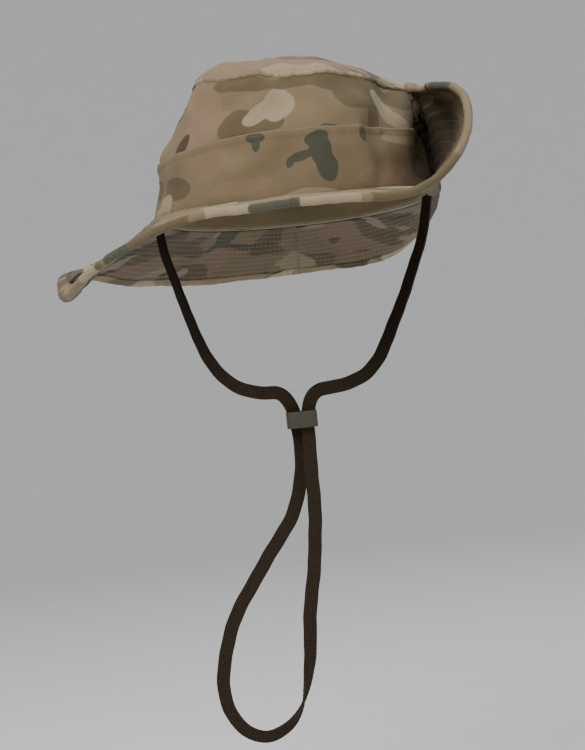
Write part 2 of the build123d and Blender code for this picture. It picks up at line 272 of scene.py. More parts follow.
cotton, tree, shader = finish("ribbed_cotton_tape", 0.82)
shader.inputs["Specular IOR Level"].default_value = 0.25
cloth = node(tree, "ShaderNodeUVMap", uv_map="cloth").outputs["UV"]
ribs = node(tree, "ShaderNodeTexWave", {"Vector": cloth, "Scale": WAVE / 0.0014, "Distortion": 0.6,
                                        "Detail": 1.0, "Detail Scale": 3.0}, bands_direction="X")
cords = node(tree, "ShaderNodeTexWave", {"Vector": cloth, "Scale": WAVE / 0.0011}, bands_direction="Y")
woven = node(tree, "ShaderNodeMath", {0: ribs.outputs["Fac"], 1: cords.outputs["Fac"]},
             operation="MULTIPLY")
fuzz = node(tree, "ShaderNodeTexNoise", {"Vector": cloth, "Scale": 420.0, "Detail": 4.0})
shade = node(tree, "ShaderNodeMath", {0: woven.outputs[0], 1: fuzz.outputs["Fac"]}, operation="MULTIPLY")
ramp = two_tones(tree, shade.outputs[0], (22, 15, 7), (72, 55, 29))
ramp.color_ramp.elements[1].position = 0.62
tree.links.new(ramp.outputs["Color"], shader.inputs["Base Color"])
emboss(tree, shader, shade.outputs[0], 0.9, 0.0005)
tape.data.materials.append(cotton)

# Slider: a small moulded block of dark matt plastic with two slots, one behind
# the other, one for each strand. It grips the tape by friction and slides up
# to the chin.
slider_low, slider_high = (Vector(corner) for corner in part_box("cord_slider"))
block = bmesh.new()
bmesh.ops.create_cube(block, size=1.0)
bmesh.ops.scale(block, verts=block.verts, vec=slider_high - slider_low)
bmesh.ops.translate(block, verts=block.verts, vec=(slider_low + slider_high) / 2)
upright_edges = [e for e in block.edges if abs(e.verts[0].co.z - e.verts[1].co.z) > 0.005]
bmesh.ops.bevel(block, geom=upright_edges, offset=0.0030, segments=5, profile=0.5, material=-1,
                affect="EDGES")
SLOT_LENGTH, SLOT_WIDTH = 0.0094, 0.0044
slots = [(-0.0095, -0.0686), (-0.0045, -0.0749)]
for x, y in slots:
    for side in (-1, 1):
        for point, normal in (((x + side * SLOT_LENGTH / 2, 0, 0), (1, 0, 0)),
                              ((0, y + side * SLOT_WIDTH / 2, 0), (0, 1, 0))):
            bmesh.ops.bisect_plane(block, geom=block.verts[:] + block.edges[:] + block.faces[:],
                                   plane_co=point, plane_no=normal)
for x, y in slots:
    cut = [f for f in block.faces if abs(f.normal.z) > 0.9
           and abs(f.calc_center_median().x - x) < SLOT_LENGTH / 2
           and abs(f.calc_center_median().y - y) < SLOT_WIDTH / 2]
    bmesh.ops.delete(block, geom=cut, context="FACES")
    rim = [e for e in block.edges if len(e.link_faces) == 1]
    bmesh.ops.bridge_loops(block, edges=rim)
bmesh.ops.recalc_face_normals(block, faces=block.faces)
slider = show("tape_slider", block)
soften = slider.modifiers.new("moulded_edges", "BEVEL")
soften.width, soften.segments, soften.limit_method = 0.0005, 3, "ANGLE"
moulded, tree, shader = finish("moulded_plastic", 0.55)
place = node(tree, "ShaderNodeTexCoord").outputs["Object"]
grain = node(tree, "ShaderNodeTexNoise", {"Vector": place, "Scale": 900.0, "Detail": 3.0})
ramp = two_tones(tree, grain.outputs["Fac"], (38, 34, 27), (64, 58, 47))
tree.links.new(ramp.outputs["Color"], shader.inputs["Base Color"])
emboss(tree, shader, grain.outputs["Fac"], 0.35, 0.0003)
slider.data.materials.append(moulded)
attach(slider, "slider")
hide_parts("cord_slider")
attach(tape, "hat")
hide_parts("chin_cord")

# Camouflage cloth: cotton and polyester twill, printed in sand, cream, olive,
# dark green and brown shapes with soft edges. The same cloth makes the crown,
# the brim covers and the binding, so its weave and print are shared groups.
SAND, CREAM, OLIVE = dye(134, 117, 89), dye(164, 148, 121), dye(104, 91, 65)
GREEN, BROWN, ROSE = dye(82, 83, 68), dye(74, 61, 42), dye(143, 121, 96)
SHIRTING_PITCH, SWEATBAND_PITCH = 0.0007, 0.0016    # width of a rib of the twill


def group(name, inputs, outputs):
    """A shared group of nodes, with its inner ends."""
    tree = bpy.data.node_groups.new(name, "ShaderNodeTree")
    for label, kind in inputs:
        tree.interface.new_socket(label, in_out="INPUT", socket_type="NodeSocket" + kind)
    for label, kind in outputs:
        tree.interface.new_socket(label, in_out="OUTPUT", socket_type="NodeSocket" + kind)
    return tree, node(tree, "NodeGroupInput"), node(tree, "NodeGroupOutput")


twill, into, out = group("twill_weave", [("Cloth", "Vector"), ("Pitch", "Float")],
                         [("Height", "Float"), ("Shade", "Float")])
rib_scale = node(twill, "ShaderNodeMath", {0: WAVE, 1: into.outputs["Pitch"]}, operation="DIVIDE")
yarn_scale = node(twill, "ShaderNodeMath", {0: rib_scale.outputs[0], 1: 1.7}, operation="MULTIPLY")
rib = node(twill, "ShaderNodeTexWave", {"Vector": into.outputs["Cloth"], "Scale": rib_scale.outputs[0],
                                        "Distortion": 0.8, "Detail": 1.0, "Detail Scale": 2.0},
           bands_direction="DIAGONAL")
yarn = node(twill, "ShaderNodeTexWave", {"Vector": into.outputs["Cloth"], "Scale": yarn_scale.outputs[0],
                                         "Distortion": 0.5}, bands_direction="X")
slub = node(twill, "ShaderNodeTexNoise", {"Vector": into.outputs["Cloth"], "Scale": 520.0, "Detail": 3.0})
mix = node(twill, "ShaderNodeMath", {0: rib.outputs["Fac"], 1: yarn.outputs["Fac"]}, operation="MULTIPLY")
height = node(twill, "ShaderNodeMath", {0: slub.outputs["Fac"], 1: 0.8, 2: mix.outputs[0]},
              operation="MULTIPLY_ADD")
shade = node(twill, "ShaderNodeMapRange", {0: height.outputs[0], 1: 0.2, 2: 1.3, 3: 0.90, 4: 1.07})
twill.links.new(height.outputs[0], out.inputs["Height"])
twill.links.new(shade.outputs[0], out.inputs["Shade"])

drift, into, out = group("print_drift", [("Cloth", "Vector"), ("Amount", "Float")], [("Cloth", "Vector")])
wander = node(drift, "ShaderNodeTexNoise", {"Vector": into.outputs["Cloth"], "Scale": 48.0, "Detail": 1.5})
centred = node(drift, "ShaderNodeVectorMath", {0: wander.outputs["Color"], 1: (0.5, 0.5, 0.5)},
               operation="SUBTRACT")
amount = node(drift, "ShaderNodeVectorMath", {0: centred.outputs[0], "Scale": into.outputs["Amount"]},
              operation="SCALE")
moved = node(drift, "ShaderNodeVectorMath", {0: into.outputs["Cloth"], 1: amount.outputs[0]},
             operation="ADD")
drift.links.new(moved.outputs[0], out.inputs["Cloth"])

scatter, into, out = group("scattered_print", [("Cloth", "Vector")], [("Color", "Color")])
colour = node(scatter, "ShaderNodeRGB").outputs[0]
colour.default_value = SAND
SPOTS_LAID = ((ROSE, 3.1, 19.0, 0.56), (OLIVE, 0.0, 21.0, 0.53), (CREAM, 1.3, 24.0, 0.60),
              (BROWN, 2.2, 23.0, 0.635), (GREEN, 4.7, 24.0, 0.635))
for ink, shift, size, threshold in SPOTS_LAID:
    place = node(scatter, "ShaderNodeVectorMath",
                 {0: into.outputs["Cloth"], 1: (shift, shift * 0.7, shift)}, operation="ADD")
    cloud = node(scatter, "ShaderNodeTexNoise", {"Vector": place.outputs[0], "Scale": size, "Detail": 1.2,
                                                 "Roughness": 0.35, "Distortion": 0.4})
    edge = node(scatter, "ShaderNodeMapRange",
                {0: cloud.outputs["Fac"], 1: threshold - 0.006, 2: threshold + 0.006})
    laid = node(scatter, "ShaderNodeMix", {0: edge.outputs[0], 6: colour, 7: ink}, data_type="RGBA")
    colour = laid.outputs[2]
scatter.links.new(colour, out.inputs["Color"])


def camouflage(name, prints=(), ground=None, wander=0.007, tone_and_painted_shade=1.0, flat=(0, 0)):
    """Printed twill. prints are laid in order, each an ink and its spots:
    (across, up, length, width, turn) in mm and degrees, grown together.
    The ground is one ink, or the scattered print from the part of the cloth at flat."""
    material, tree, shader = finish(name, 0.86)
    shader.inputs["Sheen Weight"].default_value = 0.08
    shader.inputs["Specular IOR Level"].default_value = 0.25
    cloth = node(tree, "ShaderNodeUVMap", uv_map="cloth").outputs["UV"]
    loose = node(tree, "ShaderNodeGroup", {"Cloth": cloth, "Amount": wander}, node_tree=drift).outputs["Cloth"]
    if ground is None:
        offset = node(tree, "ShaderNodeVectorMath", {0: loose, 1: (*flat, 0)}, operation="ADD")
        colour = node(tree, "ShaderNodeGroup", {"Cloth": offset.outputs[0]}, node_tree=scatter).outputs["Color"]
    else:
        colour = node(tree, "ShaderNodeRGB").outputs[0]
        colour.default_value = ground
    for ink, spots in prints:
        field = None
        for across, up, long, wide, turn in spots:
            oval = node(tree, "ShaderNodeMapping", {
                "Vector": loose, "Location": (across / 1000, up / 1000, 0), "Rotation": (0, 0, radians(turn)),
                "Scale": (long / 2000, wide / 2000, 1)}, vector_type="TEXTURE")
            far = node(tree, "ShaderNodeVectorMath", {0: oval.outputs[0]}, operation="LENGTH").outputs["Value"]
            field = far if field is None else node(tree, "ShaderNodeMath", {0: field, 1: far, 2: 0.35},
                                                   operation="SMOOTH_MIN").outputs[0]
        edge = node(tree, "ShaderNodeMapRange", {0: field, 1: 1.04, 2: 0.97})
        colour = node(tree, "ShaderNodeMix", {0: edge.outputs[0], 6: colour, 7: ink},
                      data_type="RGBA").outputs[2]
    weave = node(tree, "ShaderNodeGroup", {"Cloth": cloth, "Pitch": SHIRTING_PITCH}, node_tree=twill)
    worn = node(tree, "ShaderNodeTexNoise", {"Vector": cloth, "Scale": 30.0, "Detail": 6.0, "Roughness": 0.6})
    # Painted shade: the cloth's colour is scaled down by the darkening factor. On the front band and the brim's
    # underside this stands for the shade that falls there, with random wear on top.
    wear_and_painted_shade = node(tree, "ShaderNodeMapRange",
                  {0: worn.outputs["Fac"], 1: 0.3, 2: 0.7, 3: 0.93 * tone_and_painted_shade, 4: 1.06 * tone_and_painted_shade})
    light = node(tree, "ShaderNodeMath", {0: wear_and_painted_shade.outputs[0], 1: weave.outputs["Shade"]},
                 operation="MULTIPLY")
    shaded = node(tree, "ShaderNodeVectorMath", {0: colour, "Scale": light.outputs[0]}, operation="SCALE")
    tree.links.new(shaded.outputs[0], shader.inputs["Base Color"])
    emboss(tree, shader, weave.outputs["Height"], 0.55, 0.00035)
    return material


# Crown: a lower band, an upper wall and an oval tip, one cloth thick, each cut
# in panels and lapped over the next with a top-stitched seam. The wall slumps a
# little to the wearer's right, with a dent down its side and soft diagonal folds.

# share of the way up; in mm: height, half-width at the wearer's right and left, half-length front and back
CROWN_LINE = [
    (0.00, 0, 82, 82, 103, 103), (0.08, 9, 80.5, 81, 102, 102.5), (0.17, 19, 79, 79.5, 101, 101.5),
    (0.29, 33, 76.5, 77, 99, 99.5), (0.40, 46, 69.5, 76, 95, 97), (0.50, 56, 66, 72.5, 91, 94),
    (0.58, 64, 62, 68, 86.5, 90), (0.66, 70, 55, 61.5, 79.5, 83), (0.74, 74.8, 44.5, 52, 69, 73),
    (0.82, 78.8, 34, 42, 53.5, 57), (0.90, 82, 21, 26, 35, 37), (0.96, 84, 9, 11.5, 16, 17),
    (1.00, 84.6, 0, 0, 0, 0)]
# direction in degrees from the front towards the wearer's left, share of the way up
TIP_SEAM = [(-180, 0.60), (-120, 0.62), (-90, 0.63), (-60, 0.605), (-45, 0.60), (-30, 0.60), (0, 0.585),
            (30, 0.58), (55, 0.555), (75, 0.52), (90, 0.50), (120, 0.53), (150, 0.58), (180, 0.60)]
BAND_SEAM = [(-180, 0.29), (-120, 0.27), (-90, 0.235), (-60, 0.25), (-30, 0.275), (0, 0.278), (60, 0.28),
             (90, 0.285), (120, 0.29), (180, 0.29)]
# folds: from (direction, share up) to (direction, share up), half-breadth in degrees, rise in mm,
# which FOLD_STRENGTH multiplies
FOLDS = [
    ((-40, 0.66), (-66, 0.33), 9, 2.6), ((-62, 0.60), (-86, 0.36), 13, -4.0),
    ((-26, 0.50), (4, 0.60), 4.5, 1.3),
    ((-30, 0.44), (2, 0.545), 5, -1.1), ((-4, 0.595), (12, 0.60), 4, -1.0), ((-22, 0.10), (-6, 0.20), 5, 0.9),
    ((-14, 0.06), (4, 0.16), 5, -0.7), ((32, 0.08), (30, 0.24), 4, 0.9), ((38, 0.08), (37, 0.25), 3.5, -0.8),
    ((-58, 0.04), (-50, 0.22), 6, 0.9), ((60, 0.30), (76, 0.50), 8, 1.6), ((48, 0.36), (58, 0.54), 7, -1.4),
    ((108, 0.34), (140, 0.56), 10, 2.0), ((160, 0.34), (128, 0.50), 9, -1.6),
    ((186, 0.32), (214, 0.58), 10, 2.0), ((150, 0.05), (172, 0.22), 7, 0.9),
    ((205, 0.06), (188, 0.24), 7, -0.8), ((240, 0.34), (226, 0.60), 9, -2.0),
    ((-20, 0.40), (-4, 0.50), 3.5, 1.0), ((-8, 0.36), (8, 0.45), 4, -0.9), ((-34, 0.14), (-16, 0.22), 4, -0.8),
    ((12, 0.34), (34, 0.38), 4, 0.8), ((-70, 0.10), (-50, 0.12), 4, -0.8), ((62, 0.10), (74, 0.24), 5, -1.0),
    ((78, 0.08), (86, 0.24), 5, 1.0), ((-95, 0.30), (-120, 0.62), 9, 1.8), ((-38, 0.72), (24, 0.80), 10, 0.8),
    ((40, 0.70), (80, 0.78), 12, -1.0)]
FOLD_STRENGTH, RIPPLE = 1.9, 0.55
CROWN_SPAN = 60                            # degrees of turn that count as much as the full height
CLOTH_RADIUS, CLOTH_HEIGHT = 0.09, 0.1     # the crown's flat cloth stands as a cylinder of this size


def crown_at(turn, up):
    """Points of the crown's face: turn in radians from the front, up from 0 (base) to 1 (tip)."""
    turn = (turn + pi) % (2 * pi) - pi
    height, right, left, front, back = through(np.clip(up, 0, 1), CROWN_LINE).T
    height = height + np.minimum(up, 0) * 100
    side, ahead = np.sin(turn), np.cos(turn)
    x = side * np.where(side > 0, left, right)
    y = -ahead * np.where(ahead > 0, front, back)
    return np.stack([x, y, height], 1) / 1000


def folded(turn, up):
    """How far folds and puckers lift the cloth, in metres."""
    turn = np.degrees(turn)
    rise = np.zeros(len(turn))
    for (turn_a, up_a), (turn_b, up_b), breadth, lift in FOLDS:
        away = (turn - turn_a + 180) % 360 - 180
        above = (up - up_a) * CROWN_SPAN
        run, climb = turn_b - turn_a, (up_b - up_a) * CROWN_SPAN
        near = np.clip((away * run + above * climb) / (run * run + climb * climb), 0, 1)
        miss = np.hypot(away - near * run, above - near * climb)
        rise += FOLD_STRENGTH * lift * np.exp(-(miss / breadth) ** 2)
    angle = np.radians(turn)
    soft = (np.sin(angle * 5 + up * 9) * np.sin(up * 21 + 1.0) + 0.6 * np.sin(angle * 11 - up * 17 + 2)
            + 0.35 * np.sin(angle * 23 + up * 31))
    rise += RIPPLE * soft * np.clip(up * 6, 0.25, 1)
    return rise / 1000


def crown_lift(turn, up, lift):
    """Points of the crown's folded cloth, this far off its face."""
    step = 0.004
    here = crown_at(turn, up)
    round_way = crown_at(turn + step, up) - crown_at(turn - step, up)
    up_way = crown_at(turn, np.minimum(up + step, 0.999)) - crown_at(turn, up - step)
    out = unit(np.cross(round_way, up_way))
    out[np.asarray(up) > 0.985] = (0, 0, 1)
    return here + out * (lift + folded(turn, up))[:, None]


def lay_on_crown(low, high, pucker=0.0):
    """Flat cloth stands as an upright cylinder: its height is the share from low to high."""
    def lay(flat):
        turn = np.arctan2(flat[:, 0], -flat[:, 1])
        share = flat[:, 2] / CLOTH_HEIGHT
        bottom = low(turn) if callable(low) else low
        top = high(turn) if callable(high) else high
        up = bottom + (top - bottom) * share
        lift = np.hypot(flat[:, 0], flat[:, 1]) - CLOTH_RADIUS
        edge = np.exp(-((1 - share) / 0.10) ** 2) + np.exp(-(share / 0.10) ** 2)
        gathers = np.sin(turn * 71) + 0.7 * np.sin(turn * 113 + 1) + 0.5 * np.sin(turn * 29 + 2)
        return crown_lift(turn, up, lift + pucker * edge * gathers)
    return lay


def tip_seam(turn):
    return through(np.degrees((turn + pi) % (2 * pi) - pi), TIP_SEAM)[:, 0]


def band_seam(turn):
    return through(np.degrees((turn + pi) % (2 * pi) - pi), BAND_SEAM)[:, 0]


def band_foot(turn):
    """The band reaches a little below the base at the front, down to the brim."""
    return -0.036 * np.clip(np.cos(turn), 0, 1) ** 2


def spun(outline, start, sweep, steps, cuts):
    """A closed outline of (radius, height) corners, spun about the hat's axis.
    cuts says how often each side of the outline is cut, for a fine mesh."""
    bm = bmesh.new()
    corners = [bm.verts.new((0, -r, z)) for r, z in outline]
    sides = [bm.edges.new((a, b)) for a, b in zip(corners, corners[1:] + corners[:1])]
    for side, count in zip(sides, cuts):
        if count:
            bmesh.ops.subdivide_edges(bm, edges=[side], cuts=count)
    bmesh.ops.rotate(bm, verts=bm.verts, cent=(0, 0, 0), matrix=Matrix.Rotation(start, 3, "Z"))
    full = abs(sweep - 2 * pi) < 1e-6
    bmesh.ops.spin(bm, geom=bm.verts[:] + bm.edges[:], cent=(0, 0, 0), axis=(0, 0, 1),
                   angle=sweep, steps=steps, use_merge=full)
    if full:
        bmesh.ops.remove_doubles(bm, verts=bm.verts, dist=1e-6)
    ends = [e for e in bm.edges if len(e.link_faces) == 1]
    if ends:
        bmesh.ops.holes_fill(bm, edges=ends, sides=0)
    return bm


def around(bm, low, high):
    """UVs in metres: the distance round the cylinder, and the height on the cloth from low to high."""
    cloth = bm.loops.layers.uv.new("cloth")
    for face in bm.faces:
        middle = face.calc_center_median()
        base = np.arctan2(middle.x, -middle.y)
        for loop in face.loops:
            turn = np.arctan2(loop.vert.co.x, -loop.vert.co.y)
            turn += 2 * pi * round((base - turn) / (2 * pi))
            loop[cloth].uv = (turn * CLOTH_RADIUS, low + loop.vert.co.z / CLOTH_HEIGHT * (high - low))


def sewn(name, bm, lay, material, uv_span=(0.0, 0.1)):
    """A piece of the crown: flat cloth is marked, laid in its place and given its material."""
    around(bm, *uv_span)
    lay_down(bm, lay)
    bmesh.ops.remove_doubles(bm, verts=bm.verts, dist=1e-6)
    bmesh.ops.recalc_face_normals(bm, faces=bm.faces)
    piece = show(name, bm)
    piece.data.materials.append(material)
    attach(piece, "hat")
    return piece


# panel, where it starts, how far it sweeps, steps; the side seams are behind the ears
PANELS = (("front", radians(-98), radians(196), 190), ("back", radians(98), radians(164), 160))
# spots are (round the crown, up, length, width, turn): mm from the middle of the front, mm up
band_prints = [
    (ROSE, [(-56, 22, 40, 14, 8), (60, 8, 40, 12, 5), (-30, 8, 40, 8, 4)]),
    (OLIVE, [(-80, 14, 27, 15, -6), (-108, 18, 20, 14, 0), (110, 14, 34, 18, 0), (-128, 18, 30, 16, 20)]),
    (CREAM, [(11, -1, 36, 9, 0), (-92, 4, 20, 14, 40), (-103, 0, 24, 10, 0), (85, 28, 40, 7, 0),
             (134, 8, 26, 14, 30)]),
    (GREEN, [(18, 28.5, 14, 7, 8), (20, 22, 15, 13, -78), (23, 13.5, 15, 12.5, -78), (8, 20, 15, 5, 12),
             (1.5, 17.5, 6, 4.5, 40)]),
    (GREEN, [(-19, 31, 13, 5, 0), (-18.5, 27.5, 6, 7, 0)]), (GREEN, [(49.5, 29, 5, 8, 0)]),
]
# The front band is darkened to 0.84 as painted shade, for the lesser light that its upright face gets.
band_cloths = (camouflage("camouflage_band_front", band_prints, ground=SAND, wander=0.005, tone_and_painted_shade=0.84),
               camouflage("camouflage_band_back", flat=(0.31, 0.12), tone_and_painted_shade=0.9))
band_outline = [(0.0899, 0.001), (0.0902, 0.0), (0.0911, 0.0), (0.0913, 0.002), (0.0914, 0.088),
                (0.0918, 0.091), (0.0918, 0.0985), (0.0914, 0.1), (0.0904, 0.1), (0.0901, 0.097)]
band_cuts = [0, 0, 0, 26, 1, 3, 0, 0, 0, 12]
lay_band = lay_on_crown(band_foot, lambda turn: band_seam(turn) + 0.006, 0.0002)
for (half, start, sweep_angle, steps), cloth_finish in zip(PANELS, band_cloths):
    piece = sewn(f"crown_band_cloth_{half}", spun(band_outline, start, sweep_angle, steps, band_cuts),
                 lay_band, cloth_finish, (0.0, 0.034))
    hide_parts(f"crown_band_{half}")

wall_prints = [
    (ROSE, [(-62, 50, 34, 32, 60), (-50, 40, 30, 12, 20)]),
    (OLIVE, [(-22, 61, 62, 9, -3), (18, 62, 50, 8, 2), (46, 60, 50, 12, 0), (50, 52, 30, 20, 0),
             (70, 56, 40, 17, 0), (64, 46, 15, 24, 0), (63, 36, 11, 15, 0), (100, 55, 34, 16, 10)]),
    (OLIVE, [(-30, 38, 30, 17, 0), (-13, 38, 28, 10, 0)]),
    (CREAM, [(-3, 47, 23, 17, 22), (-17, 43, 22, 9, 24)]),
    (CREAM, [(73, 51, 15, 10, -62), (78, 44, 17, 11, -62), (86, 38, 18, 10, -28)]),
    (BROWN, [(-76, 35.5, 13, 10, 60)]), (BROWN, [(-88, 56, 14, 11, 60)]), (GREEN, [(29, 32.5, 17, 4, 0)]),
    (BROWN, [(118, 44, 22, 14, 30)]), (GREEN, [(-112, 52, 24, 12, 70)]), (CREAM, [(-126, 42, 20, 14, 0)]),
]
wall_cloths = (camouflage("camouflage_wall_front", wall_prints, ground=SAND, wander=0.005, tone_and_painted_shade=0.9),
               camouflage("camouflage_wall_back", flat=(0.72, 0.45)))
wall_outline = [(0.0893, 0.0), (0.0903, 0.0), (0.0903, 0.97), (0.0900, 1.0), (0.0892, 1.0)]
wall_outline = [(r, z * CLOTH_HEIGHT) for r, z in wall_outline]
lay_wall = lay_on_crown(lambda turn: band_seam(turn) - 0.03, tip_seam, 0.0003)
for (half, start, sweep_angle, steps), cloth_finish in zip(PANELS, wall_cloths):
    piece = sewn(f"crown_wall_cloth_{half}", spun(wall_outline, start, sweep_angle, steps, [0, 30, 0, 0, 12]),
                 lay_wall, cloth_finish, (0.029, 0.066))
    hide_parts(f"crown_wall_{half}")

# on the tip and the brim, spots are (towards the wearer's left, towards the back, length, width, turn)
tip_prints = [
    (ROSE, [(-20, -66, 90, 34, 0), (30, -60, 60, 30, 20)]),
    (OLIVE, [(24, -66, 50, 10, 12), (-58, -30, 40, 18, 70)]),
    (CREAM, [(2, -83, 24, 6, 0)]), (CREAM, [(28, -79, 13, 6, 18)]), (CREAM, [(45, -68, 14, 6, 30)]),
    (CREAM, [(-47, -66, 12, 5, -35)]), (GREEN, [(57, -48, 20, 13, 55)]), (GREEN, [(-47, -57, 18, 11, -45)]),
]
tip_cloth = camouflage("camouflage_tip", tip_prints, flat=(0.15, 0.62), wander=0.005, tone_and_painted_shade=0.9)
tip_outline = [(0.0894, 0.0), (0.0912, 0.0), (0.0913, 0.03), (0.0909, 0.10), (0.0904, 1.0), (0.0894, 1.0)]
tip_outline = [(r, z * CLOTH_HEIGHT) for r, z in tip_outline]
lay_tip = lay_on_crown(lambda turn: tip_seam(turn) - 0.012, 1.0, 0.0003)
tip = sewn("crown_tip_cloth", spun(tip_outline, 0, 2 * pi, 300, [0, 0, 2, 34, 0, 14]),
           lay_tip, tip_cloth, (0.0, 0.1))
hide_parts("crown_tip")
plan = tip.data.uv_layers["cloth"].data
for loop in tip.data.loops:
    plan[loop.index].uv = tip.data.vertices[loop.vertex_index].co.xy

# Seams of the crown: rows of lockstitch in sand thread, one round the top of
# the band and two at the tip.
thread, tree, shader = finish("sewing_thread", 0.6)
place = node(tree, "ShaderNodeTexCoord").outputs["Object"]
twist = node(tree, "ShaderNodeTexNoise", {"Vector": place, "Scale": 1500.0, "Detail": 2.0})
ramp = two_tones(tree, twist.outputs["Fac"], (104, 92, 68), (176, 160, 126))
tree.links.new(ramp.outputs["Color"], shader.inputs["Base Color"])


def stitch_row(bm, radius, height, start, sweep, pitch, long=0.0021, wide=0.00042):
    """One stitch, repeated round the hat's axis at a steady pitch."""
    made = bmesh.ops.create_icosphere(bm, subdivisions=1, radius=0.5)["verts"]
    bmesh.ops.scale(bm, verts=made, vec=(long, wide, wide))
    bmesh.ops.translate(bm, verts=made, vec=(0, -radius, height))
    bmesh.ops.rotate(bm, verts=made, cent=(0, 0, 0), matrix=Matrix.Rotation(start, 3, "Z"))
    faces = {f for v in made for f in v.link_faces}
    edges = {e for v in made for e in v.link_edges}
    bmesh.ops.spin(bm, geom=list(made) + list(edges) + list(faces), cent=(0, 0, 0), axis=(0, 0, 1),
                   angle=sweep, steps=int(abs(sweep) * radius / pitch), use_duplicate=True)


def sewn_threads(name, bm, lay):
    lay_down(bm, lay)
    piece = show(name, bm)
    piece.data.materials.append(thread)
    return piece


row = bmesh.new()
stitch_row(row, 0.09186, 0.0945, 0, 2 * pi, 0.0027)
piece = sewn_threads("band_top_stitching", row, lay_band)
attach(piece, "hat")
row = bmesh.new()
stitch_row(row, 0.09132, 0.0022, 0, 2 * pi, 0.0027)
stitch_row(row, 0.09108, 0.0085, 0, 2 * pi, 0.0027)
piece = sewn_threads("tip_seam_stitching", row, lay_tip)
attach(piece, "hat")

# Sweatband: a soft olive tape 30 mm high, sewn inside the base of the band
# with one row of stitches near its lower edge and one near its upper edge.
tape_cloth, tree, shader = finish("sweatband_twill", 0.85)
cloth = node(tree, "ShaderNodeUVMap", uv_map="cloth").outputs["UV"]
weave = node(tree, "ShaderNodeGroup", {"Cloth": cloth, "Pitch": SWEATBAND_PITCH}, node_tree=twill)
stain = node(tree, "ShaderNodeTexNoise", {"Vector": cloth, "Scale": 36.0, "Detail": 4.0})
tone = two_tones(tree, stain.outputs["Fac"], (104, 90, 64), (134, 118, 88))
shaded = node(tree, "ShaderNodeVectorMath", {0: tone.outputs["Color"], "Scale": weave.outputs["Shade"]},
              operation="SCALE")
tree.links.new(shaded.outputs[0], shader.inputs["Base Color"])
emboss(tree, shader, weave.outputs["Height"], 0.5, 0.0004)
sweat_outline = [(0.0873, 0.004), (0.0878, 0.0), (0.0886, 0.001), (0.0888, 0.097), (0.0880, 0.1),
                 (0.0873, 0.096)]
lay_sweatband = lay_on_crown(0.005, 0.262, 0.00025)
piece = sewn("sweatband_tape", spun(sweat_outline, 0, 2 * pi, 240, [0, 0, 8, 0, 0, 12]),
             lay_sweatband, tape_cloth, (0.0, 0.03))
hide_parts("sweatband")
row = bmesh.new()
stitch_row(row, 0.08722, 0.008, 0, 2 * pi, 0.003)
stitch_row(row, 0.08722, 0.092, 0, 2 * pi, 0.003)
piece = sewn_threads("sweatband_stitching", row, lay_sweatband)
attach(piece, "hat")

# Brim: a top cover, a stiffener and an underside, quilted together by ten
# stitched rings and bound round the edge. It droops at the front, the back and
# the wearer's right; the wearer's left is rolled up and snapped to the crown.
BRIM_RADIUS, BRIM_WIDTH = 0.0925, 0.072
CROWN_OVAL, EDGE_OVAL = (82, 103), (154, 175)    # half-width and half-length of the flat brim, in mm
FRONT_DIP, SHORT_ROLL = 4.4, 6.0                 # how far the front sinks, length of the tight roll
LEVEL_OFF = 700                                  # square mm over which the droop fades into the roll
# direction in degrees from the front towards the wearer's left, slope at the crown, slope at the edge
DROOP = [(0, -7, -9), (20, -8, -11), (38, -10, -13), (60, -8, -9), (90, -3, -3), (125, -6, -8),
         (155, -18, -20), (180, -21, -23), (205, -21, -25), (228, -20, -24), (246, -22, -13),
         (258, -26, -13), (272, -35, -25), (292, -35, -36), (318, -20, -27), (340, -9, -13), (360, -7, -9)]
# the rolled-up wing, by mm forward of the snap: mm from the middle of the hat where the roll
# starts, its slope there, its slope at the edge, how late it curls
FRONT_ROLL = [(0, 84, 88, 108, 1), (7, 82.5, 82, 122, 1.2), (18, 78, 62, 168, 1.8), (32, 74.8, 50, 182, 2.1),
              (52, 71.5, 46, 180, 2.3), (85, 66.5, 30, 146, 2), (110, 60.5, 16, 108, 1.5), (128, 57, 6, 72, 1),
              (145, 54, 0, 42, 1), (160, 52, 0, 16, 1), (175, 50, 0, 0, 1), (185, 50, 0, 0, 1)]
# the same behind the snap, where the wing lies close along the crown
BACK_ROLL = [(0, 84, 88, 106, 1), (14, 83, 92, 108, 1), (32, 81.5, 92, 102, 1), (60, 79.5, 86, 98, 1),
             (85, 76, 56, 100, 1), (110, 71, 16, 96, 1), (128, 67, 2, 74, 1), (145, 60, 0, 42, 1),
             (160, 54, 0, 16, 1), (175, 50, 0, 0, 1), (185, 50, 0, 0, 1)]


